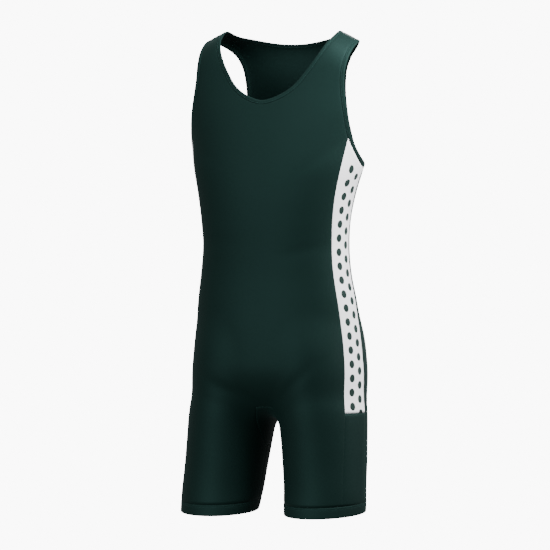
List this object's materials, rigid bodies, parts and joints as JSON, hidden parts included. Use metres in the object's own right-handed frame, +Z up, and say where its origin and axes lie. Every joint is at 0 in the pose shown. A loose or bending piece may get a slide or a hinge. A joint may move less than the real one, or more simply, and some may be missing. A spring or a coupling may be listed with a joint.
{
  "type": "weightlifting singlet",
  "caption": "One-piece sleeveless weightlifting singlet in stretch knit, dark green with white side bands, scoop neck, deep armholes and thigh-length legs, in its hollow worn shape.",
  "frame": {"origin": "midway between the neck ends of the two shoulder seams, where the straps hang from the shoulders", "axes": "+Z up along the body, the front faces -Y, +X is the wearer's left"},
  "size_m": [0.3644, 0.2356, 0.8987],
  "materials": {
    "green_knit": "smooth dark green stretch knit, slight sheen",
    "green_trim": "dark green stretch knit, folded double and stitched",
    "white_knit": "smooth white stretch knit"
  },
  "bodies": {
    "root": {"front": "green_knit", "back": "green_knit", "gusset": "green_knit", "side_panel_left": "white_knit", "side_panel_right": "white_knit", "side_lower_left": "green_knit", "side_lower_right": "green_knit", "neck_binding": "green_trim", "armhole_binding_left": "green_trim", "armhole_binding_right": "green_trim", "hem_left": "green_trim", "hem_right": "green_trim"}
  },
  "joints": []
}
